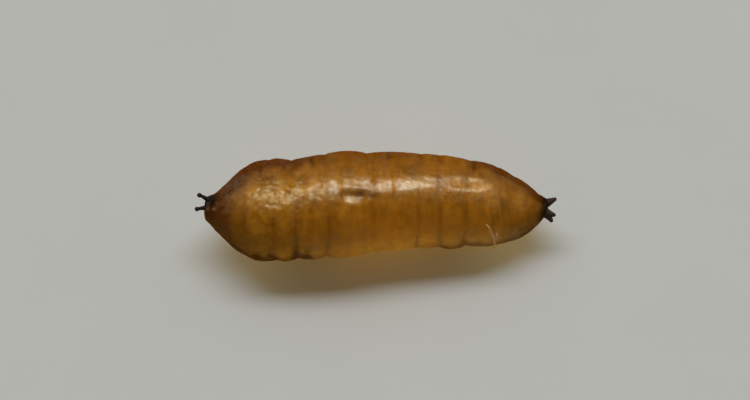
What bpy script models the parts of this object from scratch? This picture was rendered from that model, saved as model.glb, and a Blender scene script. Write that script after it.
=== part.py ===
"""Puparium of a small fly, lying on its belly: the last larval skin, hardened in one piece.

The skin is a stack of rings carried along a gently bent axis. Two slender knobbed breathing
horns stand at the head end and two stout ones at the tail end, the nearer of them forked. They
grew from the same skin, so everything is one solid.
X runs along the body with the head at -X, +Y is the far side, +Z is up, and the flat of the
belly is the plane Z = 0. Lengths are in millimetres until MM turns them into metres.
"""

import math

import bpy
import numpy as np

MM = 0.001

# The rings where one segment folds under the next, head to tail: place along X, half width
# there, and how far the segment behind it swells beyond the smooth run between the rings. The
# fold itself is a fine groove, this share of the half width deep, that far to each side.
RINGS = (
    (-1.500, 0.112, 0.000),
    (-1.450, 0.152, 0.000),
    (-1.323, 0.278, 0.003),
    (-1.159, 0.406, 0.007),
    (-0.925, 0.460, 0.014),
    (-0.730, 0.446, 0.023),
    (-0.451, 0.462, 0.023),
    (-0.066, 0.450, 0.005),
    (0.358, 0.430, 0.002),
    (0.544, 0.417, 0.024),
    (0.801, 0.388, 0.010),
    (1.075, 0.345, 0.002),
    (1.190, 0.299, 0.002),
    (1.341, 0.216, 0.004),
    (1.412, 0.151, 0.004),
    (1.480, 0.088, 0.000),
)
FOLD_SHARE, FOLD_REACH = 0.018, 0.014
HEIGHT_SHARE = 0.9
END_DOME = 0.03

# The axis swings to the far side and back in one wave of this size, crest and half length
BEND = 0.116
BEND_CREST_X = 0.523
BEND_REACH = 1.8

# The belly lies flat between these places and curves up from them to the tips
HEAD_RISE_X, HEAD_RISE, HEAD_RISE_POWER = -1.0, 0.39, 2.0
TAIL_RISE_X, TAIL_RISE, TAIL_RISE_POWER = 0.75, 0.387, 5.5
RISE_LENGTH = 0.53, 0.77
BELLY_CLEARANCE = 0.001

SIDES = 44
COLUMN_STEP = 0.05
DOME_STEPS = 3

# Breathing horns: root, elbow and tip, each from the centre of the end ring it stands on
HEAD_HORNS = {
    "head_horn_far": ((0.04, 0.050, 0.05), (-0.02, 0.062, 0.09), (-0.084, 0.080, 0.115)),
    "head_horn_near": ((0.03, -0.015, 0.04), (-0.03, -0.030, 0.085), (-0.088, -0.066, 0.115)),
}
TAIL_HORNS = {
    "tail_horn_far": ((-0.03, 0.028, 0.0), (0.04, 0.050, 0.01), (0.100, 0.082, 0.02)),
    "tail_horn_near": ((-0.03, -0.026, 0.0), (0.045, -0.064, 0.0), (0.094, -0.080, 0.012)),
    "tail_horn_spur": ((-0.03, -0.026, 0.0), (0.040, -0.066, -0.02), (0.062, -0.124, -0.035)),
}
# Their sizes: radius of the stalk, how much wider the root is, the power by which that fades
# towards the tip, and radius of the knob
HEAD_HORN_SIZES = 0.014, 0.030, 2.0, 0.021
TAIL_HORN_SIZES = 0.012, 0.038, 1.0, 0.016
HORN_SIDES = 12
HORN_STEPS = 6
KNOB_STEPS = 6

SKIN_COLOUR = (0.30, 0.115, 0.009, 1.0)
SKIN_ROUGHNESS = 0.3
SMOOTH_ANGLE = math.radians(40)


def through_knots(knots, values, x):
    """Smooth curve through the knots: cubic pieces whose slopes are those between neighbours."""
    slopes = np.gradient(values, knots)
    piece = np.clip(np.searchsorted(knots, x, side="right") - 1, 0, len(knots) - 2)
    span = knots[piece + 1] - knots[piece]
    t = (x - knots[piece]) / span
    start = values[piece] * (1 + 2 * t) + slopes[piece] * span * t
    end = values[piece + 1] * (3 - 2 * t) - slopes[piece + 1] * span * (1 - t)
    return start * (1 - t) ** 2 + end * t ** 2


def half_width(x):
    """Half width of the skin: the smooth run through the rings, swollen between and folded at them."""
    knots, widths, swells = np.array(RINGS).T
    piece = np.clip(np.searchsorted(knots, x, side="right") - 1, 0, len(knots) - 2)
    t = (x - knots[piece]) / (knots[piece + 1] - knots[piece])
    smooth = through_knots(knots, widths, x)
    from_fold = np.abs(x[:, None] - knots[1:-1]).min(axis=1)
    fold = FOLD_SHARE * np.clip(1 - from_fold / FOLD_REACH, 0, 1)
    return smooth * (1 - fold) + swells[piece] * 4 * t * (1 - t)


def rise(x):
    """How far the belly has curved up from the plane it lies on."""
    to_head = np.clip((HEAD_RISE_X - x) / RISE_LENGTH[0], 0, None)
    to_tail = np.clip((x - TAIL_RISE_X) / RISE_LENGTH[1], 0, None)
    return HEAD_RISE * to_head ** HEAD_RISE_POWER + TAIL_RISE * to_tail ** TAIL_RISE_POWER


def axis(x):
    """Centre of the ring at x."""
    knots, widths, _ = np.array(RINGS).T
    sway = BEND * (1 + np.cos(math.pi * (x - BEND_CREST_X) / BEND_REACH)) / 2
    height = HEIGHT_SHARE * through_knots(knots, widths, x) + rise(x) + BELLY_CLEARANCE
    return np.stack((x, sway, height), axis=-1)


def columns():
    """Places along X of the rings of points: each fold and its two lips, and even steps between."""
    folds = [ring[0] for ring in RINGS]
    edges = [folds[0]] + [x + lip for x in folds[1:-1] for lip in (-FOLD_REACH, FOLD_REACH)] + [folds[-1]]
    runs = []
    for start, end in zip(edges[::2], edges[1::2]):
        steps = max(1, round((end - start) / COLUMN_STEP))
        runs.append(np.linspace(start, end, steps + 1))
    return np.sort(np.concatenate(runs + [folds[1:-1]]))


def unit(vectors):
    return vectors / np.linalg.norm(vectors, axis=-1, keepdims=True)


def rings_along(centres, tangents, across, upward, sides):
    """Rings of points about the centres, square to the tangents, with their half width and height."""
    angle = np.linspace(0, 2 * math.pi, sides, endpoint=False)
    aside = unit(np.cross((0, 0, 1), tangents))
    above = np.cross(tangents, aside)
    spread = (across[:, None] * np.cos(angle))[..., None] * aside[:, None]
    return centres[:, None] + spread + (upward[:, None] * np.sin(angle))[..., None] * above[:, None]


def with_domes(centres, across):
    """Adds at both ends of a row of rings the rings of a low dome that shrink to a point."""
    turn = np.linspace(0, math.pi / 2, DOME_STEPS + 1)[1:]
    parts = []
    for end, inner, order in ((0, 1, -1), (-1, -2, 1)):
        outward = unit((centres[end] - centres[inner]) * (1, 1, 0))
        out = centres[end] + END_DOME * np.sin(turn)[:, None] * outward
        parts.append((out[::order], (across[end] * np.cos(turn))[::order]))
    (head, head_across), (tail, tail_across) = parts
    return np.vstack((head, centres, tail)), np.concatenate((head_across, across, tail_across))


def body():
    """The ringed skin, with its belly cut flat where it lies."""
    x = columns()
    centres, across = with_domes(axis(x), half_width(x))
    tangents = unit(np.gradient(centres, axis=0) * (1, 1, 0))
    skin = rings_along(centres, tangents, across, HEIGHT_SHARE * across, SIDES)
    skin[..., 2] = np.maximum(skin[..., 2], 0)
    return skin


def horn(foot, points, stalk, flare, power, knob):
    """A breathing horn: a bent stalk that is wide at its root and ends in a small round knob."""
    root, elbow, tip = (foot + np.array(point) for point in points)
    t = np.concatenate((np.linspace(0, 0.8, HORN_STEPS), np.linspace(0.82, 1, KNOB_STEPS)))[:, None]
    centres = (1 - t) ** 2 * root + 2 * t * (1 - t) * elbow + t ** 2 * tip
    along = np.concatenate(([0], np.cumsum(np.linalg.norm(np.diff(centres, axis=0), axis=1))))
    from_knob = along[-1] - knob - along
    stem = stalk + flare * (1 - along / along[-1]) ** power
    ball = np.sqrt(np.clip(knob ** 2 - from_knob ** 2, 0, None))
    radius = np.where(from_knob < 0, ball, np.maximum(stem, ball))
    radius[0] = 0
    return rings_along(centres, unit(np.gradient(centres, axis=0)), radius, radius, HORN_SIDES)


def all_shapes():
    """Every closed shape of the puparium by name, centred on the whole in X and Y."""
    shapes = {"puparium": body()}
    head, tail = axis(np.array([RINGS[0][0], RINGS[-1][0]]))
    for name, points in HEAD_HORNS.items():
        shapes[name] = horn(head, points, *HEAD_HORN_SIZES)
    for name, points in TAIL_HORNS.items():
        shapes[name] = horn(tail, points, *TAIL_HORN_SIZES)
    everything = np.vstack([shape.reshape(-1, 3) for shape in shapes.values()])
    middle = (everything.min(axis=0) + everything.max(axis=0)) / 2
    return {name: shape - (middle[0], middle[1], 0) for name, shape in shapes.items()}


def closed_mesh(name, rings):
    """A closed mesh from a stack of rings, the first and the last of them shrunk to a point."""
    count, sides = len(rings) - 2, rings.shape[1]
    points = np.vstack((rings[:1, 0], rings[1:-1].reshape(-1, 3), rings[-1:, 0])) * MM
    index = 1 + np.arange(count * sides).reshape(count, sides)
    turned = np.roll(index, -1, axis=1)
    faces = np.stack((index[:-1], turned[:-1], turned[1:], index[1:]), axis=-1).reshape(-1, 4).tolist()
    faces += [(0, b, a) for a, b in zip(index[0].tolist(), turned[0].tolist())]
    last = len(points) - 1
    faces += [(a, b, last) for a, b in zip(index[-1].tolist(), turned[-1].tolist())]
    mesh = bpy.data.meshes.new(name)
    mesh.from_pydata(points.tolist(), [], faces)
    mesh.shade_smooth()
    mesh.set_sharp_from_angle(angle=SMOOTH_ANGLE)
    return mesh


def skin_material():
    """Hardened amber skin."""
    material = bpy.data.materials.new("amber_skin")
    material.use_nodes = True
    shader = material.node_tree.nodes["Principled BSDF"]
    shader.inputs["Base Color"].default_value = SKIN_COLOUR
    shader.inputs["Roughness"].default_value = SKIN_ROUGHNESS
    shader.inputs["Metallic"].default_value = 0.0
    return material


def add_object(name, rings, material):
    item = bpy.data.objects.new(name, closed_mesh(name, rings))
    item.data.materials.append(material)
    bpy.context.scene.collection.objects.link(item)
    return item


def join_horn(skin, shape):
    """Grows a horn into the skin: the horn's own object is only a guide for the union."""
    shape.hide_render = True
    shape.display_type = "WIRE"
    union = skin.modifiers.new(shape.name, "BOOLEAN")
    union.operation = "UNION"
    union.object = shape


def main():
    for item in list(bpy.data.objects):
        bpy.data.objects.remove(item, do_unlink=True)
    material = skin_material()
    made = {name: add_object(name, rings, material) for name, rings in all_shapes().items()}
    skin = made.pop("puparium")
    for shape in made.values():
        join_horn(skin, shape)


main()
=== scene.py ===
"""A small fly's puparium in fine detail: ringed amber skin, breathing horns and a stray fibre.

Shapes are worked out in the body's own millimetres, as X along the body, Y to the far side and
Z up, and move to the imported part's frame in metres as they become meshes.
"""
import math

import bpy
import numpy as np
from mathutils import Euler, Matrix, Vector


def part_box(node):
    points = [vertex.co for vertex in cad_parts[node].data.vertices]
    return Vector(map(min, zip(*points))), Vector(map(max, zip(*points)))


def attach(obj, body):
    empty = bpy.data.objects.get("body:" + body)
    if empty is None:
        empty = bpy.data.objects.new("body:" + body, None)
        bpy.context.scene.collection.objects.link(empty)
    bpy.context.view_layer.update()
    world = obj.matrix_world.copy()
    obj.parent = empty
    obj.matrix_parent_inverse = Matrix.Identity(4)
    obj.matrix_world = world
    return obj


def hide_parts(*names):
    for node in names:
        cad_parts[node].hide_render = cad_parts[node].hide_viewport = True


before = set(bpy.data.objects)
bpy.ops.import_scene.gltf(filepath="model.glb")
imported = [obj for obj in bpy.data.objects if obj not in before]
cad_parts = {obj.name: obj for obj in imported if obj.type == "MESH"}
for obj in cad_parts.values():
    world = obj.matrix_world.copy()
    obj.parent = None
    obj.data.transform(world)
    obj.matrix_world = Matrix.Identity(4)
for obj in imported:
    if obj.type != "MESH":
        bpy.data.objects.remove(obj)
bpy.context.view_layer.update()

MM = 0.001
NODE = "puparium"

# The rings where one segment folds under the next, head to tail: place along X, half width
# there, how far the segment behind it swells, how far the fold leans to the tail on the side
# that the camera sees uppermost, and how deep the fold is beside the deepest.
RINGS = (
    (-1.500, 0.112, 0.000, 0.000, 0.0),
    (-1.450, 0.152, 0.000, 0.000, 0.3),
    (-1.323, 0.278, 0.003, 0.000, 0.3),
    (-1.159, 0.406, 0.007, 0.010, 0.6),
    (-0.925, 0.460, 0.014, -0.010, 0.8),
    (-0.730, 0.446, 0.023, 0.004, 0.7),
    (-0.451, 0.462, 0.023, 0.030, 0.7),
    (-0.066, 0.450, 0.005, 0.000, 0.8),
    (0.358, 0.430, 0.002, 0.040, 1.0),
    (0.544, 0.417, 0.024, 0.000, 0.8),
    (0.801, 0.388, 0.010, 0.010, 1.0),
    (1.075, 0.345, 0.002, -0.050, 0.6),
    (1.190, 0.299, 0.002, 0.000, 0.5),
    (1.341, 0.216, 0.004, 0.000, 0.4),
    (1.412, 0.151, 0.004, 0.000, 0.3),
    (1.480, 0.088, 0.000, 0.000, 0.0),
)
RING_X, RING_WIDTHS, RING_SWELLS, RING_LEANS, RING_DEPTHS = np.array(RINGS).T

# The body: its height beside its width, the length of its end domes, the size, crest and half
# length of its bend, and how its belly rises to both tips
HEIGHT_SHARE = 0.9
END_DOME = 0.03
BEND, BEND_CREST_X, BEND_REACH = 0.116, 0.523, 1.8
HEAD_RISE_X, HEAD_RISE, HEAD_RISE_POWER = -1.0, 0.39, 2.0
TAIL_RISE_X, TAIL_RISE, TAIL_RISE_POWER = 0.75, 0.387, 5.5
RISE_LENGTH = 0.53, 0.77
BELLY_CLEARANCE = 0.001
COLUMNS, SIDES, DOME_STEPS = 394, 250, 12

# Middle of the box round body and horns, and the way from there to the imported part's box
MIDDLE = np.array((-0.0044, 0.0501, 0.0))
LOW_CORNER, HIGH_CORNER = (np.array(corner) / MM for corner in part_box(NODE))
SHIFT = ((LOW_CORNER + HIGH_CORNER) / 2 - MIDDLE) * (1, 1, 0)

# Angles on the skin run from the far side over the back. The camera looks along +Y and down, and
# sees this angle as the upper edge of the outline.
TOP_EDGE = math.radians(24.6)

# Folds: depth and half width of the deepest, how deep and wide the soft hollow round a fold is,
# and how uneven folds are: share, grain along X and round the body, first seed
FOLD_DEPTH, FOLD_REACH = 0.0045, 0.022
HOLLOW_SHARE, HOLLOW_REACH = 0.35, 0.066
FOLD_UNEVENNESS, FOLD_GRAIN, FOLD_SEED = 0.35, (1.0, 1.4, 1.4), 20

# How far the folds wander, how uneven the swelling is, and how far from the end rings the folds
# start to lean and wander
WANDER, WANDER_GRAIN, WANDER_SEED = 0.007, (0.5, 0.9, 0.9), 5
SWELL_UNEVENNESS, SWELL_GRAIN, SWELL_SEED = 0.25, (2.0, 2.5, 2.5), 6
END_FADE = 0.12

# Shallow folds that go only part of the way round: place along X, middle and half spread of the
# angle in degrees, depth and half width
PART_FOLDS = (
    (-1.385, 110, 60, 0.003, 0.012),
    (-1.255, 120, 70, 0.004, 0.012),
    (-1.060, 100, 70, 0.004, 0.012),
    (-0.992, 150, 50, 0.003, 0.012),
    (-0.835, 120, 60, 0.003, 0.010),
    (-0.650, 170, 50, 0.004, 0.012),
    (-0.590, 90, 40, 0.003, 0.012),
    (-0.340, 80, 40, 0.003, 0.014),
    (-0.252, 170, 40, 0.003, 0.014),
    (0.119, 85, 35, 0.004, 0.012),
    (0.217, 150, 40, 0.003, 0.014),
    (0.450, 100, 40, 0.003, 0.012),
    (0.677, 160, 50, 0.003, 0.014),
    (0.925, 110, 40, 0.003, 0.012),
    (0.985, 150, 40, 0.003, 0.012),
    (1.255, 120, 60, 0.002, 0.012),
)
PART_FOLD_SLANT = 0.02

# The back is flatter and smoother than the flanks: its middle and its half spread in degrees,
# and the shares that the swelling and the folds lose there
BACK_ANGLE, BACK_SPREAD = 95, 50
BACK_FLATTENING, BACK_SMOOTHING = 0.95, 0.85
# The back leans to the far side: how strongly at places along X
LEAN_PLACES, LEAN_HEIGHTS = (-0.95, 0.10, 0.90), (0.029, 0.0175, 0.005)

# Dents in the back: place along X, angle in degrees and how it turns along X, half length, half
# spread in degrees, depth. Then the lip round a dent: height, place and reach, in parts of it.
DENTS = (
    (-0.210, 107.0, 14, 0.108, 5.4, 0.012),
    (-0.060, 109.5, 36, 0.070, 5.0, 0.003),
    (0.760, 89.0, -20, 0.180, 6.0, 0.0075),
    (0.262, 95.5, 0, 0.024, 3.0, 0.004),
    (0.045, 96.0, 0, 0.040, 5.0, 0.002),
)
DENT_LIP, DENT_LIP_PLACE, DENT_LIP_REACH = 0.12, 1.9, 0.5

# Wrinkles: grain along the body and round it, height at head, middle and tail, and seed
WRINKLES = (
    (0.032, 0.032, (0.0002, 0.0001, 0.0002), 11),
    (0.052, 0.052, (0.0012, 0.0004, 0.0004), 14),
    (0.100, 0.095, (0.0010, 0.0006, 0.0006), 12),
    (0.260, 0.220, (0.0020, 0.0010, 0.0012), 13),
)
WRINKLE_PLACES = -0.95, -0.45, 0.95

# Crumple: how many waves it sums, and the least and the most of them to a grain
WAVES, WAVE_RANGE = 70, (0.5, 1.5)
# All relief fades out where the half width of the skin is less than this
BARE_WIDTH = 0.1

# Darkening in the furrow, in folds and along both edges of the outline, partly painted shade and
# partly brown of the skin: place along X, angle in degrees, half length, half spread in degrees,
# strength
SHADE_AND_STAINS = (
    (-0.290, 101.5, 0.055, 4.0, 0.65),
    (-0.170, 104, 0.070, 4.5, 0.70),
    (-0.060, 107, 0.045, 4.0, 0.60),
    (1.285, 178, 0.140, 22, 0.80),
    (1.013, 150, 0.016, 35, 0.30),
    (1.125, 150, 0.020, 35, 0.30),
    (-1.250, 187, 0.150, 24, 0.40),
    (-1.080, 180, 0.060, 14, 0.35),
    (-0.970, 187, 0.040, 21, 0.80),
    (-0.755, 186, 0.040, 22, 0.85),
    (-0.640, 188, 0.045, 20, 1.00),
    (-0.735, 162, 0.026, 26, 0.20),
    (-0.462, 168, 0.034, 34, 0.38),
    (0.354, 168, 0.026, 28, 0.34),
    (0.553, 155, 0.024, 40, 0.30),
    (0.790, 165, 0.020, 30, 0.25),
    (0.600, 186, 0.060, 16, 0.30),
    (0.930, 192, 0.070, 15, 0.7),
    (0.790, 184, 0.050, 18, 0.5),
    (-1.010, 55, 0.020, 22, 0.55),
    (-0.820, 48, 0.024, 16, 0.60),
    (-0.570, 46, 0.020, 16, 0.45),
    (0.110, 44, 0.018, 14, 0.50),
    (0.840, 50, 0.024, 18, 0.70),
    (0.480, 44, 0.018, 12, 0.35),
)
# How the painted shade and stains are blotched: share, grain, seed, and the least and the
# most that is left
BLOTCHING, BLOTCH_GRAIN, BLOTCH_SEED = 0.25, (0.10, 0.10, 0.10), 32
BLOTCH_RANGE = 0.4, 1.6

# Places where the back is waxed smooth and shines most: laid out as the shade and stains are
SHINY_SPOTS = (
    (-0.974, 108.0, 0.020, 3.0, 1.0),
    (-1.060, 90.0, 0.035, 7.0, 0.9),
    (-1.110, 100.0, 0.035, 7.0, 0.9),
    (-1.180, 93.0, 0.050, 12.0, 1.0),
    (-1.000, 96.0, 0.070, 10.0, 0.45),
    (-0.840, 99.0, 0.050, 9.0, 0.20),
    (-0.580, 95.0, 0.040, 9.0, 0.45),
    (-0.385, 92.5, 0.055, 6.0, 0.35),
    (-0.270, 92.0, 0.030, 4.0, 0.7),
    (-0.190, 88.5, 0.050, 4.0, 0.7),
    (-0.120, 92.0, 0.040, 4.0, 0.35),
    (-0.235, 111.5, 0.050, 4.5, 0.9),
    (0.040, 96.0, 0.065, 6.5, 0.7),
    (0.155, 95.8, 0.022, 5.0, 0.8),
    (0.270, 95.6, 0.085, 7.0, 1.6),
    (0.394, 91.5, 0.070, 6.5, 1.8),
    (0.480, 90.0, 0.050, 6.0, 0.75),
    (0.490, 106.5, 0.050, 4.0, 0.6),
    (0.575, 89.0, 0.025, 3.0, 0.5),
    (0.635, 94.5, 0.030, 3.0, 0.7),
    (0.705, 98.0, 0.045, 3.0, 0.8),
    (0.780, 97.3, 0.045, 3.0, 1.0),
    (0.880, 93.0, 0.060, 3.5, 1.3),
    (0.740, 82.5, 0.050, 3.0, 0.7),
    (0.850, 79.5, 0.070, 3.0, 0.9),
    (1.015, 89.0, 0.055, 5.0, 1.2),
)
# Places where it is rubbed dull, laid out in the same way
DULL_SPOTS = (
    (-0.800, 95, 0.120, 90, 0.12),
    (-0.320, 95, 0.022, 90, 0.20),
    (-0.110, 113, 0.042, 5.0, 0.40),
    (-0.310, 112, 0.022, 4.0, 0.30),
    (-0.035, 95, 0.028, 90, 0.28),
    (0.117, 95, 0.016, 90, 0.25),
    (0.640, 95, 0.080, 90, 0.18),
    (0.830, 86, 0.080, 3.5, 0.40),
)

# Below, a rise is where a tint starts to show, where it is full, and its strength. A hump is its
# middle, its half width and its strength. The side of a place is 1 along the upper edge of the
# outline and -1 along the lower. Hidden skin is past both, round on the belly.
HIDDEN_FROM, HIDDEN_FULL = 0, -0.45

# Painted crease shade and brown in the folds: reach and strength of a line in them and of the
# shade beside it, and how much of that shows on the back and how it rises to the sides
FOLD_SHADE_LINES = (0.019, 0.45), (0.045, 0.60)
FOLD_SHADE_ON_BACK = 0.35
FOLD_SHADE_SIDE_RISES = (0.75, 0.92, 0.50), (0.10, -0.30, 0.65)

# Painted shade and brown along both edges of the outline, where the skin turns away: rises by
# side, how ragged they are, strengths at places along X, and how much is left on the hidden skin
LOWER_EDGE_SHADE = (-0.84, -1.00, 0.80), (-0.40, -0.95, 0.20)
UPPER_EDGE_SHADE = (0.76, 0.98, 0.60), (0.40, 0.95, 0.40)
RAGGEDNESS, RAGGED_GRAIN, RAGGED_SEED = 0.014, (0.16, 0.16, 0.16), 31
MARGIN_PLACES = -1.5, -1.1, -0.9, -0.7, -0.4, -0.2, 0.1, 0.3, 0.55, 0.8, 1.1, 1.4
LOWER_MARGIN = 0.9, 0.75, 0.75, 0.70, 0.50, 0.30, 0.15, 0.20, 0.75, 1.05, 1.00, 0.6
UPPER_MARGIN = 1.2, 1.3, 0.9, 0.75, 0.55, 0.5, 0.55, 0.40, 0.30, 0.5, 1.1, 1.4
LOWER_HIDDEN, UPPER_HIDDEN = 0.38, 0.25

# Brown of the ends by X, two bands of it, painted shade on the far flank that faces the lamps,
# by side, the share of the painted shade and stains in it, and the most there is
END_BROWNS = (-0.90, -1.50, 0.36), (-1.15, -1.48, 0.88), (1.10, 1.30, 0.16), (1.25, 1.48, 0.50)
BROWN_BANDS = (-1.22, 0.12, 0.10), (0.20, 0.20, 0.10)
FAR_FLANK_SHADE = 0.35, 0.65, 0.16
SHADE_AND_STAIN_BROWN, MOST_BROWN = 0.6, 0.92

# The black neck that the head's horns stand on: its centre, and where the black fades. Then the
# rise of the black at the tail.
NECK = np.array((-1.495, 0.042, 0.515))
NECK_FADE = 0.045, 0.150
TAIL_BLACK = 1.41, 1.48, 0.92

# A pale line part of the way round near the tail: places along X at angles in degrees, its half
# width, and the angles where it starts and ends. Then painted light: a paler band low on the
# flanks, by side.
PALE_LINE_ANGLES = 94, 105, 120, 135, 149, 177
PALE_LINE_PLACES = 1.049, 1.062, 1.075, 1.080, 1.084, 1.080
PALE_LINE_REACH = 0.009
PALE_LINE_START, PALE_LINE_END = (88, 100), (200, 170)
PAINTED_LIGHT_BAND = -0.80, 0.22, 0.35

# How clear the skin is: everywhere, more between two places along X, less to the head, less where
# it is brown, more in a band, and less on the crest of the back, whose half spread is in degrees.
# Glows are clearer spots low on the near flank: a hump along X, then middle and reach by side.
EVEN_CLEAR, MIDDLE_CLEAR = 0.26, 0.22
MIDDLE_START, MIDDLE_END = (-0.75, -0.25), (1.05, 0.60)
HEAD_CLOUDING = -0.92, -1.62, 0.6
BROWN_CLOUDING = 0.85
CLEAR_BAND = 0.85, 0.35, 0.06
CREST_CLOUDING, CREST_SPREAD = 0.75, 24
GLOWS = (
    (0.20, 0.28, 0.22, -0.62, 0.25),
    (0.97, 0.16, 0.22, -0.60, 0.30),
    (-0.85, 0.25, 0.08, -0.45, 0.35),
)
# The skin lets more light through where the body is slender, away from its middle
SLENDER_MIDDLE, SLENDER_FROM, SLENDER_FULL = -0.05, 0.4, 1.6

# The gloss of the back: its middle in degrees, where it starts and is full in degrees from that,
# and how it is lost to the tail. Then where the head end of the crest is grainy, and how the wax
# is lost to that and to the tail.
GLOSS_ANGLE, GLOSS_FROM, GLOSS_FULL = 85, 50, 20
TAIL_GLOSS_LOSS = 1.05, 1.40, 0.8
GRAINY_FROM, GRAINY_FULL = -0.30, -0.70
GRAINY_WAX_LOSS, TAIL_WAX_LOSS = 0.85, (0.50, 0.75, 0.55)

# Dullness: everywhere, less to both ends, the near flank by side and how it is lost low on the
# middle of the body by side and by X, the far flank, and both ends
EVEN_DULL = 0.60
DULL_LOSSES = (-0.45, -0.70, 0.10), (0.50, 0.75, 0.18)
NEAR_DULL = 0.22, -0.15, 0.9
LOW_FLANK_LOSS, LOW_FLANK_ALONG = (-0.35, -0.75, 0.55), (-0.9, -0.4)
FAR_DULL = 0.6, 0.9, 0.8
END_DULLS = (-1.15, -1.40, 0.85), (1.10, 1.40, 0.85)

# Breathing horns: root, elbow and tip from the centre of the end ring. Their sizes are radius of
# the stalk, how much wider it is at the root, the power by which that fades to the tip, radius of
# the knob.
HEAD_HORNS = {
    "head_horn_far": ((0.04, 0.040, 0.02), (-0.01, 0.064, 0.09), (-0.090, 0.082, 0.115)),
    "head_horn_near": ((0.03, -0.015, 0.04), (-0.03, -0.030, 0.085), (-0.106, -0.068, 0.115)),
}
HEAD_HORN_SIZES = 0.013, 0.026, 2.0, 0.021
TAIL_HORNS = {
    "tail_horn_far": ((-0.03, 0.028, 0.0), (0.04, 0.050, 0.01), (0.106, 0.084, 0.02)),
    "tail_horn_near": ((-0.03, -0.026, 0.0), (0.045, -0.064, 0.0), (0.096, -0.080, 0.012)),
    "tail_horn_spur": ((-0.03, -0.026, 0.0), (0.040, -0.066, -0.02), (0.064, -0.126, -0.035)),
}
TAIL_HORN_SIZES = 0.013, 0.042, 1.0, 0.018
STALK_SHARE = 0.8
HORN_SIDES, HORN_STEPS, KNOB_STEPS = 28, 26, 16

# The stray fibre that is stuck to the skin: place along X, angle in degrees and height above the
# skin at each of its points, then its radius and the power by which it thins to its ends
FIBRE_PATHS = {
    "fibre": (
        (0.972, 142.0, 0.002),
        (1.004, 147.0, 0.010),
        (1.022, 155.4, 0.006),
        (1.052, 167.0, 0.012),
        (1.064, 186.0, 0.016),
        (1.056, 203.0, 0.034),
    ),
    "fibre_branch": (
        (1.080, 158.0, 0.002),
        (1.076, 164.0, 0.008),
        (1.068, 171.0, 0.010),
        (1.062, 181.0, 0.012),
    ),
}
FIBRE_RADIUS, FIBRE_TAPER = 0.0125, 0.3
FIBRE_SIDES, FIBRE_STEPS = 12, 90

# Cloudy patterns: grain in millimetres, detail, roughness, and how much closer than that the
# clouds lie along each axis
EVEN = 1.0, 1.0, 1.0
DRIFT = 0.45, 2.0, 0.55, EVEN
CLOUDS = 0.13, 3.0, 0.55, EVEN
PATCHES = 0.09, 3.0, 0.60, (1.0, 0.5, 0.5)
STREAKS = 0.080, 3.0, 0.60, (1.0, 0.35, 0.35)
GRAINS = 0.055, 1.0, 0.55, EVEN
MOTTLE = 0.050, 3.0, 0.55, EVEN
PORES = 0.038, 2.0, 0.50, EVEN
HORN_CLOUDS = 0.03, 2.0, 0.55, EVEN
FIBRE_CLOUDS = 0.05, 2.0, 0.55, EVEN
BOARD_CLOUDS = 1.5, 4.0, 0.55, EVEN

# Ramps: from which to which number of a pattern, and from which to which number it takes that,
# where that isn't 0 to 1
DRIFT_RAMP = 0.38, 0.62
CLOUD_RAMP = 0.30, 0.70
STREAK_RAMP = 0.34, 0.66
SPECK_RAMP = 0.48, 0.70
CLEAR_RAMP = 0.30, 0.70, 1.2, 0.8
WAX_RAMP = 0.42, 0.58, 0.5, 1.0
RUB_RAMP = 0.42, 0.56, 0.18, 0.0
GRAIN_RAMP = 0.38, 0.62, 0.20, -0.44
GLOSS_RAMP = 0.0, 1.0, 0.50, 0.34

# The amber's two tones, the darker one of its clouds and streaks with their shares, and the
# lighter one of its specks with theirs
AMBER_TONES = (0.63, 0.245, 0.016, 1), (0.61, 0.260, 0.017, 1)
DARK_AMBER, CLOUD_SHARE, STREAK_SHARE = (0.25, 0.090, 0.0042, 1), 0.52, 0.42
LIGHT_AMBER, SPECK_SHARE = (0.59, 0.29, 0.03, 1), 0.5
# Tints over the amber, first to last: which, how much of it shows, and its colour. Fold and
# brown carry painted shade as well as brown of the skin, and pale carries painted light.
SKIN_LAYERS = (
    ("fold", 0.58, (0.13, 0.032, 0.003, 1)),
    ("pale", 0.35, (0.60, 0.34, 0.06, 1)),
    ("brown", 1.0, (0.065, 0.014, 0.003, 1)),
    ("tip", 1.0, (0.010, 0.005, 0.004, 1)),
)

# The skin's surface: what the mottle, the black ends and the grainy part add to its roughness,
# the depth of its pores and how much of that the grainy part loses, and what stays the same
MOTTLE_ROUGHNESS, TIP_ROUGHNESS, GRAINY_ROUGHNESS = 0.10, 0.3, 0.05
PORE_DEPTH, GRAINY_PORE_LOSS = 0.0014, 0.7
SKIN_DEPTH = {
    "Subsurface Weight": 0.45,
    "Subsurface Radius": (1.0, 0.42, 0.08),
    "Subsurface Scale": 0.22 * MM,
}
SKIN_SHINE = {
    "IOR": 2.25,
    "Specular Tint": (1.0, 0.84, 0.40, 1.0),
    "Coat Roughness": 0.25,
    "Coat IOR": 1.85,
}
RUBBED_SKIN = {"Roughness": 0.7, "Specular IOR Level": 0.0}
# Light that shines through the skin, and light that goes on to the floor through the thick middle
# and the slender ends
GLOW_COLOUR = 0.95, 0.61, 0.15, 1
PASSED_MIDDLE, PASSED_ENDS = (0.45, 0.36, 0.195, 1), (0.75, 0.66, 0.45, 1)

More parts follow.
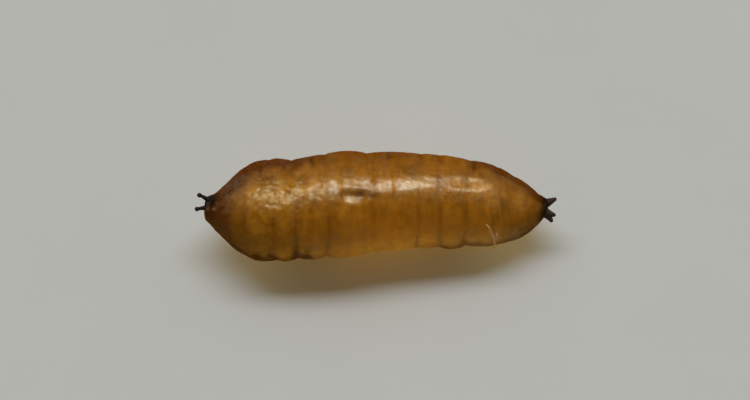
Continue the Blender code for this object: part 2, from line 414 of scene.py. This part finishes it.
# Horns, fibre and floor: two tones, then what lets light on through the first two
HORN_TONES = {
    "black_horn": ((0.014, 0.008, 0.007, 1), (0.030, 0.016, 0.011, 1)),
    "brown_horn": ((0.030, 0.015, 0.008, 1), (0.060, 0.030, 0.014, 1)),
}
HORN_SURFACE = {"Roughness": 0.60, "IOR": 1.33}
PASSED_HORN = 0.70, 0.62, 0.50, 1
FIBRE_TONES = (0.92, 0.62, 0.22, 1), (0.98, 0.72, 0.34, 1)
FIBRE_SURFACE = {"Roughness": 0.5}
PASSED_FIBRE, FIBRE_CLEARNESS = (1.0, 0.95, 0.85, 1), 0.52
BOARD_TONES = (0.60, 0.60, 0.555, 1), (0.64, 0.64, 0.595, 1)
BOARD_SURFACE = {"Roughness": 0.8}

# The floor: half its length, and how far it is below the belly
FLOOR_REACH, FLOOR_DROP = 400.0, 0.002

# Lamps: how far each leans to the head and back from straight above, in degrees, its length
# along the body and its width in metres, its power, and whether it shows in reflections
LAMP_DISTANCE = 0.6
LAMPS = {
    "overhead_core": (3, 26, 0.84, 0.19, 2.50, True),
    "overhead_spread": (7, 42, 1.40, 0.45, 1.10, False),
}
ROOM_COLOUR, ROOM_STRENGTH = (0.95, 0.97, 1.0, 1), 0.07

# The camera: how far down it looks, the place it looks at, the picture's width in pixels and the
# width of one of them there, the lens, and the nearest and farthest it sees beside its distance
CAMERA_ELEVATION = math.radians(63)
CAMERA_TARGET = -0.022, 0.109, 0.41
PICTURE_WIDTH, PIXEL = 750, 0.00885
LENS = 200
NEAREST_SHARE, FARTHEST_SHARE = 0.1, 100


def unit(vectors):
    """The vectors, each over its own length."""
    return vectors / np.linalg.norm(vectors, axis=-1, keepdims=True)


def bell(distance, reach):
    """A smooth hump: exp of minus the square of the distance over the reach."""
    return np.exp(-((distance / reach) ** 2))


def step(start, full, x):
    """0 up to the start, 1 from full on, between them 3 t^2 - 2 t^3. Full may be below start."""
    t = np.clip((x - start) / (full - start), 0, 1)
    return t * t * (3 - 2 * t)


def rises(x, *rows):
    """Sum over the rows of the strength times the step from where it starts to where it is full."""
    return sum(strength * step(start, full, x) for start, full, strength in rows)


def humps(x, *rows):
    """Sum over the rows of the strength times a bell about the middle."""
    return sum(strength * bell(x - middle, reach) for middle, reach, strength in rows)


def turned_from(angle, degrees):
    """The angle from a place given in degrees, in radians from -pi to pi."""
    return (angle - np.radians(degrees) + math.pi) % (2 * math.pi) - math.pi


def bell_round(angle, degrees, spread):
    """A bell of the angle round the body: its middle and half spread are in degrees."""
    return bell(turned_from(angle, degrees), math.radians(spread))


def spots(table, x, angle):
    """One layer for each spot of a table: its strength times a bell along X and a bell round it."""
    return [
        strength * bell(x - place, length) * bell_round(angle, degrees, spread)
        for place, degrees, length, spread, strength in table
    ]


def between_knots(knots, x):
    """Which piece between two knots x is in, that piece's length, and the share of it up to x."""
    piece = np.clip(np.searchsorted(knots, x, side="right") - 1, 0, len(knots) - 2)
    span = knots[piece + 1] - knots[piece]
    return piece, span, (x - knots[piece]) / span


def through_knots(knots, values, x):
    """Smooth curve through the knots: cubic pieces whose slopes are those between neighbours."""
    slopes = np.gradient(values, knots)
    piece, span, t = between_knots(knots, x)
    start = values[piece] * (1 + 2 * t) + slopes[piece] * span * t
    end = values[piece + 1] * (3 - 2 * t) - slopes[piece + 1] * span * (1 - t)
    return start * (1 - t) ** 2 + end * t ** 2


def crumple(points, grain, seed):
    """Even random relief near 1 high: a sum of cosine waves in random directions, one grain long."""
    rng = np.random.default_rng(seed)
    ways = unit(rng.normal(size=(WAVES, 3))) / np.array(grain)
    ways *= rng.uniform(*WAVE_RANGE, size=(WAVES, 1)) * 2 * math.pi
    shifts = rng.uniform(0, 2 * math.pi, WAVES)
    total = np.zeros(points.shape[:-1])
    for way, shift in zip(ways, shifts):
        total += np.cos(points @ way + shift)
    return total * math.sqrt(2 / WAVES)


def round_body(along, angle):
    """Points on a circle of radius 1 round X, for relief that follows the body round."""
    return np.stack((along, np.cos(angle), np.sin(angle)), axis=-1)


def side_of(angle):
    """1 along the upper edge of the outline that the camera sees, and -1 along the lower."""
    return np.cos(angle - TOP_EDGE)


def smooth_half_width(x):
    """Half width of the body without its swelling and folds: the curve through the rings."""
    return through_knots(RING_X, RING_WIDTHS, np.clip(x, RING_X[0], RING_X[-1]))


def rise(x):
    """How far the belly has curved up from the plane it lies on: a power of the way to each tip."""
    to_head = np.clip((HEAD_RISE_X - x) / RISE_LENGTH[0], 0, None)
    to_tail = np.clip((x - TAIL_RISE_X) / RISE_LENGTH[1], 0, None)
    return HEAD_RISE * to_head ** HEAD_RISE_POWER + TAIL_RISE * to_tail ** TAIL_RISE_POWER


def axis(x):
    """Centre of the ring at x: the sway is one cosine wave, the height keeps the belly down."""
    sway = BEND * (1 + np.cos(math.pi * (x - BEND_CREST_X) / BEND_REACH)) / 2
    height = HEIGHT_SHARE * smooth_half_width(x) + rise(x) + BELLY_CLEARANCE
    return np.stack((x, sway, height), axis=-1)


def unleaned(x, angle):
    """The place along X that x would have if no fold leaned, by side, and none wandered."""
    lean = np.interp(x, RING_X, RING_LEANS) * side_of(angle)
    wander = WANDER * crumple(round_body(x, angle), WANDER_GRAIN, WANDER_SEED)
    inside = step(0, END_FADE, x - RING_X[0]) * step(0, END_FADE, RING_X[-1] - x)
    return x - (lean + wander) * inside


def swelling(x, angle):
    """Swelling of the segments, a parabola between each two folds, fuller here and there."""
    piece, _, t = between_knots(RING_X, x)
    t = np.clip(t, 0, 1)
    fuller = 1 + SWELL_UNEVENNESS * crumple(round_body(piece, angle), SWELL_GRAIN, SWELL_SEED)
    fuller *= 1 - BACK_FLATTENING * bell_round(angle, BACK_ANGLE, BACK_SPREAD)
    return RING_SWELLS[piece] * 4 * t * (1 - t) * fuller


def fold_depth(x, angle):
    """Depth of the folds between segments: a narrow bell at each ring, plus a wide shallow one."""
    circle = round_body(np.zeros_like(x), angle)
    total = np.zeros_like(x)
    for number, (place, width, depth) in enumerate(zip(RING_X, RING_WIDTHS, RING_DEPTHS)):
        patchy = 1 + FOLD_UNEVENNESS * crumple(circle, FOLD_GRAIN, FOLD_SEED + number)
        hollow = humps(x, (place, FOLD_REACH, 1.0), (place, HOLLOW_REACH, HOLLOW_SHARE))
        total += FOLD_DEPTH * depth * width / max(RING_WIDTHS) * patchy * hollow
    return total * (1 - BACK_SMOOTHING * bell_round(angle, BACK_ANGLE, BACK_SPREAD))


def part_folds(x, angle):
    """The shallow folds that fade out round the body: a bell across each times a bell along it."""
    total = np.zeros_like(x)
    for place, degrees, spread, depth, reach in PART_FOLDS:
        slant = PART_FOLD_SLANT * np.sin(2 * turned_from(angle, degrees))
        total += depth * bell_round(angle, degrees, spread) * bell(x - place - slant, reach)
    return total * (1 - BACK_SMOOTHING * bell_round(angle, BACK_ANGLE, BACK_SPREAD / 2))


def dents(x, angle):
    """Soft dents: a bell across and exp of minus a fourth power along, with a raised lip round."""
    total = np.zeros_like(x)
    for place, degrees, turn, length, spread, depth in DENTS:
        across = turned_from(angle, degrees + turn * (x - place)) / math.radians(spread)
        out = np.sqrt(((x - place) / length) ** 4 + across ** 2)
        total += depth * (bell(out, 1.0) - DENT_LIP * bell(out - DENT_LIP_PLACE, DENT_LIP_REACH))
    return total


def leaning_back(x, angle):
    """Fuller on the near side of the back than on the far side: one sine wave under a bell."""
    height = np.interp(x, LEAN_PLACES, LEAN_HEIGHTS)
    wave = np.sin(2 * turned_from(angle, BACK_ANGLE))
    return height * wave * bell_round(angle, BACK_ANGLE, BACK_SPREAD)


def wrinkles(points, x):
    """Fine relief: each grain of crumple times its height at head, middle and tail."""
    total = np.zeros_like(x)
    for along, around, heights, seed in WRINKLES:
        height = np.interp(x, WRINKLE_PLACES, heights)
        total += height * crumple(points, (along, around, around), seed)
    return total


def smooth_skin(x, angle):
    """Points of the smooth bent tube at x and angle, its half width and its outward directions.

    Across, the tube is an ellipse square to the axis, whose slope comes from the sway.
    """
    slope = -BEND * math.pi / (2 * BEND_REACH) * np.sin(math.pi * (x - BEND_CREST_X) / BEND_REACH)
    aside = unit(np.stack((-slope, np.ones_like(x), np.zeros_like(x)), axis=-1))
    above = np.array((0.0, 0.0, 1.0))
    outward = np.cos(angle)[..., None] * aside + np.sin(angle)[..., None] * above
    ellipse = np.cos(angle)[..., None] * aside + HEIGHT_SHARE * np.sin(angle)[..., None] * above
    half_width = smooth_half_width(x)
    return axis(x) + half_width[..., None] * ellipse, half_width, outward


def on_skin(x, angle, lift=0.0):
    """Points at a height above the skin, and their unleaned places along X.

    The skin is a bent tube plus swelling, less folds and dents, plus wrinkles.
    """
    smooth, half_width, outward = smooth_skin(x, angle)
    place = unleaned(x, angle)
    relief = swelling(place, angle) - fold_depth(place, angle)
    relief -= part_folds(place, angle) + dents(x, angle)
    relief += leaning_back(x, angle) + wrinkles(smooth, x)
    height = relief * step(0, BARE_WIDTH, half_width) + lift
    return smooth + height[..., None] * outward, place


def skin_shape():
    """The skin as rings of points, with the unleaned place and the angle of each.

    Past both end rings the tube closes in a low dome of quarter-circle section.
    """
    turn = np.linspace(0, math.pi / 2, DOME_STEPS + 1)[1:]
    run = np.linspace(RING_X[0], RING_X[-1], COLUMNS - 2 * DOME_STEPS)
    along = np.concatenate((np.full(DOME_STEPS, run[0]), run, np.full(DOME_STEPS, run[-1])))
    shrink = np.concatenate((np.cos(turn)[::-1], np.ones(len(run)), np.cos(turn)))
    beyond = np.concatenate((-np.sin(turn)[::-1], np.zeros(len(run)), np.sin(turn))) * END_DOME
    angles = np.linspace(0, 2 * math.pi, SIDES, endpoint=False)
    x, angle = np.meshgrid(along, angles, indexing="ij")
    points, place = on_skin(x, angle)
    centre = axis(x)
    points = centre + shrink[:, None, None] * (points - centre)
    points[..., 0] += beyond[:, None]
    points[..., 2] = np.maximum(points[..., 2], 0)
    return points, place, angle


def add_mesh(name, points, quads, triangles):
    """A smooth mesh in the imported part's frame, from points in the body's own millimetres."""
    mesh = bpy.data.meshes.new(name)
    mesh.vertices.add(len(points))
    mesh.vertices.foreach_set("co", ((points + SHIFT) * MM).astype(np.float32).ravel())
    corners = np.concatenate((quads.ravel(), triangles.ravel()))
    starts = np.concatenate((
        np.arange(len(quads)) * 4,
        len(quads) * 4 + np.arange(len(triangles)) * 3,
    ))
    mesh.loops.add(len(corners))
    mesh.loops.foreach_set("vertex_index", corners.astype(np.int32))
    mesh.polygons.add(len(starts))
    mesh.polygons.foreach_set("loop_start", starts.astype(np.int32))
    mesh.update(calc_edges=True)
    mesh.shade_smooth()
    item = bpy.data.objects.new(name, mesh)
    bpy.context.scene.collection.objects.link(item)
    return item


def add_closed(name, rings):
    """A closed mesh from a stack of rings, the first and the last shrunk to a point."""
    count, sides = len(rings) - 2, rings.shape[1]
    points = np.vstack((rings[:1, 0], rings[1:-1].reshape(-1, 3), rings[-1:, 0]))
    index = 1 + np.arange(count * sides).reshape(count, sides)
    turned = np.roll(index, -1, axis=1)
    quads = np.stack((index[:-1], turned[:-1], turned[1:], index[1:]), axis=-1).reshape(-1, 4)
    first = np.zeros(sides, int)
    last = np.full(sides, len(points) - 1)
    caps = np.vstack((
        np.stack((first, turned[0], index[0]), axis=-1),
        np.stack((index[-1], turned[-1], last), axis=-1),
    ))
    return add_mesh(name, points, quads, caps)


def add_attribute(item, name, values):
    """Keeps one number for each point of a stack of rings, whose two ends are single points."""
    flat = np.concatenate((values[:1, 0], values[1:-1].ravel(), values[-1:, 0]))
    layer = item.data.attributes.new(name, "FLOAT", "POINT")
    layer.data.foreach_set("value", flat.astype(np.float32))


def dress(item, material):
    """Gives a piece its material and its place on the part."""
    item.data.materials.append(material)
    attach(item, "root")
    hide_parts(NODE)


def rings_along(centres, radius, sides):
    """Round rings square to a path: the rings' own axes come from the path's tangent and Z."""
    angle = np.linspace(0, 2 * math.pi, sides, endpoint=False)
    tangents = unit(np.gradient(centres, axis=0))
    aside = unit(np.cross((0, 0, 1), tangents))
    above = np.cross(tangents, aside)
    ring = np.cos(angle)[:, None] * aside[:, None] + np.sin(angle)[:, None] * above[:, None]
    return centres[:, None] + radius[:, None, None] * ring


def horn_shape(foot, points, stalk, flare, power, knob):
    """A bent stalk along a quadratic curve, flared at its root, that ends in a round knob."""
    root, elbow, tip = (foot + np.array(point) for point in points)
    up_stalk = np.linspace(0, STALK_SHARE, HORN_STEPS)
    round_knob = np.linspace(STALK_SHARE, 1, KNOB_STEPS + 1)[1:]
    t = np.concatenate((up_stalk, round_knob))[:, None]
    centres = (1 - t) ** 2 * root + 2 * t * (1 - t) * elbow + t ** 2 * tip
    along = np.concatenate(([0], np.cumsum(np.linalg.norm(np.diff(centres, axis=0), axis=1))))
    from_knob = along[-1] - knob - along
    stem = stalk + flare * (1 - along / along[-1]) ** power
    ball = np.sqrt(np.clip(knob ** 2 - from_knob ** 2, 0, None))
    radius = np.where(from_knob < 0, ball, np.maximum(stem, ball))
    radius[0] = 0
    return rings_along(centres, radius, HORN_SIDES)


class Value:
    """A number that varies over a surface. An operator on it adds the Math node for that step."""

    def __init__(self, finish, socket):
        self.finish = finish
        self.socket = socket

    def worked(self, operation, first, second):
        """The result of a Math node on two numbers."""
        node = self.finish.node("ShaderNodeMath", {"operation": operation}, {0: first, 1: second})
        return Value(self.finish, node.outputs[0])

    def __add__(self, other):
        return self.worked("ADD", self, other)

    def __rsub__(self, other):
        return self.worked("SUBTRACT", other, self)

    def __mul__(self, other):
        return self.worked("MULTIPLY", self, other)

    __radd__ = __add__
    __rmul__ = __mul__

    def ramp(self, low, high, start=0.0, end=1.0):
        """From start to end as the number goes from low to high, and level beyond them."""
        node = self.finish.node(
            "ShaderNodeMapRange",
            {"clamp": True, "interpolation_type": "SMOOTHSTEP"},
            {"Value": self, "From Min": low, "From Max": high, "To Min": start, "To Max": end},
        )
        return Value(self.finish, node.outputs[0])


class Finish:
    """A material in the making: its methods add nodes and return what comes out of them."""

    def __init__(self, name):
        self.material = bpy.data.materials.new(name)
        self.material.use_nodes = True
        self.tree = self.material.node_tree
        self.tree.nodes.clear()

    def node(self, kind, settings=None, sockets=None):
        """Adds a node: its settings first, then a value or a link for each of its sockets."""
        node = self.tree.nodes.new(kind)
        for name, setting in (settings or {}).items():
            setattr(node, name, setting)
        for key, value in (sockets or {}).items():
            source = value.socket if isinstance(value, Value) else value
            if isinstance(source, bpy.types.NodeSocket):
                self.tree.links.new(source, node.inputs[key])
            else:
                node.inputs[key].default_value = source
        return node

    def attribute(self, name):
        """A number that the piece's mesh keeps for each of its points."""
        node = self.node("ShaderNodeAttribute", {"attribute_name": name})
        return Value(self, node.outputs["Fac"])

    def noise(self, grain, detail, roughness, closeness):
        """Cloudy noise whose clouds are about one grain over the closeness across."""
        place = self.node("ShaderNodeTexCoord").outputs["Object"]
        scale = tuple(share / (grain * MM) for share in closeness)
        spaced = self.node("ShaderNodeVectorMath", {"operation": "MULTIPLY"}, {0: place, 1: scale})
        sockets = {"Vector": spaced.outputs[0], "Scale": 1.0, "Detail": detail, "Roughness": roughness}
        return Value(self, self.node("ShaderNodeTexNoise", None, sockets).outputs["Fac"])

    def mix(self, factor, first, second):
        """A colour that goes from the first to the second as the factor goes from 0 to 1."""
        settings = {"data_type": "RGBA", "clamp_factor": True}
        return self.node("ShaderNodeMix", settings, {0: factor, 6: first, 7: second}).outputs[2]

    def bump(self, height, distance):
        """Relief as deep as the distance, in metres, where the height goes from 0 to 1."""
        sockets = {"Height": height, "Distance": distance, "Strength": 1.0}
        return self.node("ShaderNodeBump", None, sockets).outputs[0]

    def shader(self, kind, sockets):
        """A shader of the given kind."""
        return self.node(kind, None, sockets).outputs[0]

    def principled(self, colour, sockets):
        """A surface of a colour, with the rest of its sockets."""
        return self.shader("ShaderNodeBsdfPrincipled", {"Base Color": colour, **sockets})

    def passing(self, colour):
        """Light that goes straight on, tinted."""
        return self.shader("ShaderNodeBsdfTransparent", {"Color": colour})

    def blend(self, factor, first, second):
        """A shader that goes from the first to the second as the factor goes from 0 to 1."""
        return self.shader("ShaderNodeMixShader", {0: factor, 1: first, 2: second})

    def surface(self, shader):
        """The finished material, with this shader as its surface."""
        self.node("ShaderNodeOutputMaterial", None, {"Surface": shader})
        return self.material

    def surface_passing(self, shader, passed):
        """The finished material: its surface, and the light from a lamp that goes on through it."""
        to_lamp = self.node("ShaderNodeLightPath").outputs["Is Shadow Ray"]
        return self.surface(self.blend(to_lamp, shader, passed))


def skin_colour(finish, mottle):
    """Amber that drifts between two tones, darker in clouds and streaks, lighter in specks.

    Over it come the tints that the mesh keeps for each of its points.
    """
    clouds = finish.noise(*CLOUDS).ramp(*CLOUD_RAMP)
    streaks = finish.noise(*STREAKS).ramp(*STREAK_RAMP)
    colour = finish.mix(finish.noise(*DRIFT).ramp(*DRIFT_RAMP), *AMBER_TONES)
    colour = finish.mix(clouds * CLOUD_SHARE + streaks * STREAK_SHARE, colour, DARK_AMBER)
    colour = finish.mix(mottle.ramp(*SPECK_RAMP) * SPECK_SHARE, colour, LIGHT_AMBER)
    for name, share, tint in SKIN_LAYERS:
        colour = finish.mix(finish.attribute(name) * share, colour, tint)
    return colour


def skin_finish():
    """Hardened larval skin: clear amber, brown and painted shade in the folds and at the edges,
    and nearly black at the ends.

    Waxed and rubbed skin are blended, and both with the light that shines through them.
    """
    finish = Finish("amber_skin")
    tip, clear, gloss, waxed, dull, grainy, slender = (
        finish.attribute(name)
        for name in ("tip", "clear", "gloss", "waxed", "dull", "grainy", "slender")
    )
    patches, grains, mottle = (finish.noise(*pattern) for pattern in (PATCHES, GRAINS, MOTTLE))
    colour = skin_colour(finish, mottle)
    relief = finish.bump(finish.noise(*PORES) * (1 - grainy * GRAINY_PORE_LOSS), PORE_DEPTH * MM)
    roughness = gloss.ramp(*GLOSS_RAMP) + mottle * MOTTLE_ROUGHNESS + tip * TIP_ROUGHNESS
    roughness += grainy * GRAINY_ROUGHNESS
    coat = waxed * patches.ramp(*WAX_RAMP)
    varied = {"Roughness": roughness, "Coat Weight": coat, "Normal": relief}
    glossy = finish.principled(colour, {**varied, **SKIN_SHINE, **SKIN_DEPTH})
    matt = finish.principled(colour, {**RUBBED_SKIN, **SKIN_DEPTH})
    rubbed = dull + patches.ramp(*RUB_RAMP) + grains.ramp(*GRAIN_RAMP) * grainy
    skin = finish.blend(rubbed, glossy, matt)
    glow = finish.shader("ShaderNodeBsdfTranslucent", {"Color": GLOW_COLOUR, "Normal": relief})
    skin = finish.blend(clear * patches.ramp(*CLEAR_RAMP), skin, glow)
    passed = finish.blend(slender, finish.passing(PASSED_MIDDLE), finish.passing(PASSED_ENDS))
    return finish.surface_passing(skin, passed)


def clouded(finish, pattern, tones):
    """A colour that goes from one tone to the other in clouds."""
    return finish.mix(finish.noise(*pattern).ramp(*CLOUD_RAMP), *tones)


def horn_finish(name, tones):
    """The dark, smooth, hard skin of the breathing horns, clouded from one brown to another."""
    finish = Finish(name)
    horn = finish.principled(clouded(finish, HORN_CLOUDS, tones), HORN_SURFACE)
    return finish.surface_passing(horn, finish.passing(PASSED_HORN))


def fibre_finish():
    """Pale plant fibre, partly clear."""
    finish = Finish("pale_fibre")
    thread = finish.principled(clouded(finish, FIBRE_CLOUDS, FIBRE_TONES), FIBRE_SURFACE)
    return finish.surface(finish.blend(FIBRE_CLEARNESS, thread, finish.passing(PASSED_FIBRE)))


def board_finish():
    """Pale matt paper board."""
    finish = Finish("pale_board")
    colour = finish.mix(finish.noise(*BOARD_CLOUDS), *BOARD_TONES)
    return finish.surface(finish.principled(colour, BOARD_SURFACE))


def shade_and_stains(points, x, angle):
    """The painted shade and brown stains: the sum of the spots, blotched by crumple."""
    blotches = 1 + BLOTCHING * crumple(points, BLOTCH_GRAIN, BLOTCH_SEED)
    return sum(spots(SHADE_AND_STAINS, x, angle)) * np.clip(blotches, *BLOTCH_RANGE)


def fold_shade_and_brown(x, side):
    """Painted crease shade and fold brown: a narrow and a wide bell at each ring, the strongest
    counts.
    """
    lines = [
        depth * humps(x, *((place, *line) for line in FOLD_SHADE_LINES))
        for place, depth in zip(RING_X, RING_DEPTHS)
    ]
    return np.max(lines, axis=0) * (FOLD_SHADE_ON_BACK + rises(side, *FOLD_SHADE_SIDE_RISES))


def edge_shade_and_brown(points, x, angle):
    """Painted shade and brown along the lower and the upper edge of the outline, ragged by crumple.

    On the hidden skin both give way to an even brown that fades from one side to the other.
    """
    side = side_of(angle)
    ragged = side + RAGGEDNESS * crumple(points, RAGGED_GRAIN, RAGGED_SEED)
    hidden = step(HIDDEN_FROM, HIDDEN_FULL, np.sin(angle - TOP_EDGE))
    lower = rises(ragged, *LOWER_EDGE_SHADE) * (1 - hidden) + LOWER_HIDDEN * (1 - side) * hidden
    upper = rises(ragged, *UPPER_EDGE_SHADE) * (1 - hidden) + UPPER_HIDDEN * (1 + side) * hidden
    lower *= np.interp(x, MARGIN_PLACES, LOWER_MARGIN)
    upper *= np.interp(x, MARGIN_PLACES, UPPER_MARGIN)
    return lower, upper


def blackened(points, x):
    """Black round the neck, fading by the distance from its centre, and at the tail."""
    from_neck = np.linalg.norm(points - NECK, axis=-1)
    return np.maximum(1 - step(*NECK_FADE, from_neck), rises(x, TAIL_BLACK))


def paled(points, angle):
    """The pale line, a bell along X between its two ends, and the painted light band, a bell by side.
    """
    degrees = np.degrees(angle)
    line = np.interp(degrees, PALE_LINE_ANGLES, PALE_LINE_PLACES)
    shown = step(*PALE_LINE_START, degrees) * step(*PALE_LINE_END, degrees)
    return bell(points[..., 0] - line, PALE_LINE_REACH) * shown + humps(side_of(angle), PAINTED_LIGHT_BAND)


def cleared(x, angle, tip, browned):
    """How much light shines through: steps along X, less where it is browned, plus the glows."""
    side = side_of(angle)
    middle = step(*MIDDLE_START, x) * step(*MIDDLE_END, x)
    clear = (EVEN_CLEAR + MIDDLE_CLEAR * middle) * (1 - rises(x, HEAD_CLOUDING)) * (1 - tip)
    clear *= 1 - BROWN_CLOUDING * np.clip(browned, 0, 1)
    clear += humps(x, CLEAR_BAND)
    for place, length, strength, glow_side, reach in GLOWS:
        clear += humps(x, (place, length, strength)) * bell(side - glow_side, reach)
    return clear * (1 - CREST_CLOUDING * bell_round(angle, BACK_ANGLE, CREST_SPREAD))


def dulled(x, angle):
    """How rubbed the skin is: even, less at the shiny spots, more on both flanks and at the ends."""
    side = side_of(angle)
    shiny = np.clip(np.max(spots(SHINY_SPOTS, x, angle), axis=0), 0, 1)
    plain = EVEN_DULL - rises(x, *DULL_LOSSES) + sum(spots(DULL_SPOTS, x, angle))
    low_flank = rises(side, LOW_FLANK_LOSS) * step(*LOW_FLANK_ALONG, x)
    dull = np.maximum(plain, rises(side, NEAR_DULL) * (1 - low_flank)) * (1 - shiny)
    dull = np.maximum(dull, rises(side, FAR_DULL))
    return np.maximum(dull, rises(x, *END_DULLS))


def skin_tints(points, x, angle):
    """How far each place is tinted, in each of the ways that the skin's finish reads."""
    side = side_of(angle)
    shade_and_stain = shade_and_stains(points, x, angle)
    # Painted shade and brown along both edges of the outline.
    lower, upper = edge_shade_and_brown(points, x, angle)
    # Painted shade on the far flank and along the outline's edges goes into the brown, with the
    # stains.
    brown = rises(x, *END_BROWNS) + humps(x, *BROWN_BANDS) + rises(side, FAR_FLANK_SHADE)
    brown += lower + upper + SHADE_AND_STAIN_BROWN * shade_and_stain
    tip = blackened(points, x)
    off_back = np.abs(np.degrees(turned_from(angle, GLOSS_ANGLE)))
    gloss = step(GLOSS_FROM, GLOSS_FULL, off_back) * (1 - tip) * (1 - rises(x, TAIL_GLOSS_LOSS))
    grainy = step(GRAINY_FROM, GRAINY_FULL, x) * bell_round(angle, BACK_ANGLE, CREST_SPREAD)
    return {
        # The fold tint holds painted crease shade as well as brown of the folds.
        "fold": np.clip(fold_shade_and_brown(x, side) + shade_and_stain, 0, 1),
        "brown": np.clip(brown, 0, MOST_BROWN),
        "tip": tip,
        # The pale tint holds the pale line and a band of painted light low on the flanks.
        "pale": paled(points, angle),
        "clear": cleared(x, angle, tip, lower + shade_and_stain),
        "gloss": gloss,
        "waxed": gloss * (1 - GRAINY_WAX_LOSS * grainy) * (1 - rises(x, TAIL_WAX_LOSS)),
        "dull": dulled(x, angle),
        "grainy": grainy,
        "slender": step(SLENDER_FROM, SLENDER_FULL, np.abs(x - SLENDER_MIDDLE)),
    }


def make_skin():
    """The ringed skin with its tints."""
    points, place, angle = skin_shape()
    item = add_closed("puparium_skin", points)
    for name, values in skin_tints(points, place, angle).items():
        add_attribute(item, name, values)
    dress(item, skin_finish())


def make_horns():
    """The horns of both ends, each from the centre of the end ring that it stands on."""
    head, tail = axis(RING_X[[0, -1]])
    ends = (
        (head, HEAD_HORNS, HEAD_HORN_SIZES, "black_horn"),
        (tail, TAIL_HORNS, TAIL_HORN_SIZES, "brown_horn"),
    )
    for foot, horns, sizes, colour in ends:
        finish = horn_finish(colour, HORN_TONES[colour])
        for name, points in horns.items():
            dress(add_closed(name, horn_shape(foot, points, *sizes)), finish)


def make_fibre():
    """Round threads through points on the skin, each thinning out at its ends."""
    finish = fibre_finish()
    for name, path in FIBRE_PATHS.items():
        x, degrees, lift = np.array(path).T
        knots, _ = on_skin(x, np.radians(degrees), lift)
        numbers = np.arange(len(path), dtype=float)
        t = np.linspace(0, len(path) - 1, FIBRE_STEPS)
        centres = np.stack([through_knots(numbers, run, t) for run in knots.T], axis=-1)
        radius = FIBRE_RADIUS * np.sin(math.pi * t / t[-1]) ** FIBRE_TAPER
        radius[[0, -1]] = 0
        dress(add_closed(name, rings_along(centres, radius, FIBRE_SIDES)), finish)


def make_floor():
    """A flat square just below the belly."""
    corners = np.array(((-1, -1), (1, -1), (1, 1), (-1, 1))) * FLOOR_REACH
    points = np.column_stack((corners, np.full(4, -FLOOR_DROP)))
    floor = add_mesh("floor", points, np.array([[0, 1, 2, 3]]), np.zeros((0, 3), int))
    floor.data.materials.append(board_finish())


def make_lights():
    """A soft strip of light overhead, a little behind the body, and a weak even fill."""
    for name, (to_head, back, length, width, power, mirrored) in LAMPS.items():
        data = bpy.data.lights.new(name, "AREA")
        data.shape = "ELLIPSE"
        data.size, data.size_y = length, width
        data.energy = power
        lamp = bpy.data.objects.new(name, data)
        turn = Euler((-math.radians(back), -math.radians(to_head), 0))
        lamp.location = turn.to_matrix() @ Vector((0, 0, LAMP_DISTANCE))
        lamp.rotation_euler = turn
        lamp.visible_glossy = mirrored
        bpy.context.scene.collection.objects.link(lamp)
    world = bpy.data.worlds.new("room")
    world.use_nodes = True
    sky = world.node_tree.nodes["Background"]
    sky.inputs["Color"].default_value = ROOM_COLOUR
    sky.inputs["Strength"].default_value = ROOM_STRENGTH
    bpy.context.scene.world = world
    bpy.context.scene.view_settings.view_transform = "Standard"


def make_camera():
    """A long lens, square to the body's length, looking down on it."""
    target = (np.array(CAMERA_TARGET) + SHIFT) * MM
    data = bpy.data.cameras.new("camera")
    data.lens = LENS
    distance = PICTURE_WIDTH * PIXEL * MM * data.lens / data.sensor_width
    data.clip_start = distance * NEAREST_SHARE
    data.clip_end = distance * FARTHEST_SHARE
    back = np.array((0, -math.cos(CAMERA_ELEVATION), math.sin(CAMERA_ELEVATION)))
    camera = bpy.data.objects.new("camera", data)
    camera.location = target + back * distance
    camera.rotation_euler = (Vector(target) - camera.location).to_track_quat("-Z", "Y").to_euler()
    bpy.context.scene.collection.objects.link(camera)
    bpy.context.scene.camera = camera


make_skin()
make_horns()
make_fibre()
make_floor()
make_lights()
make_camera()
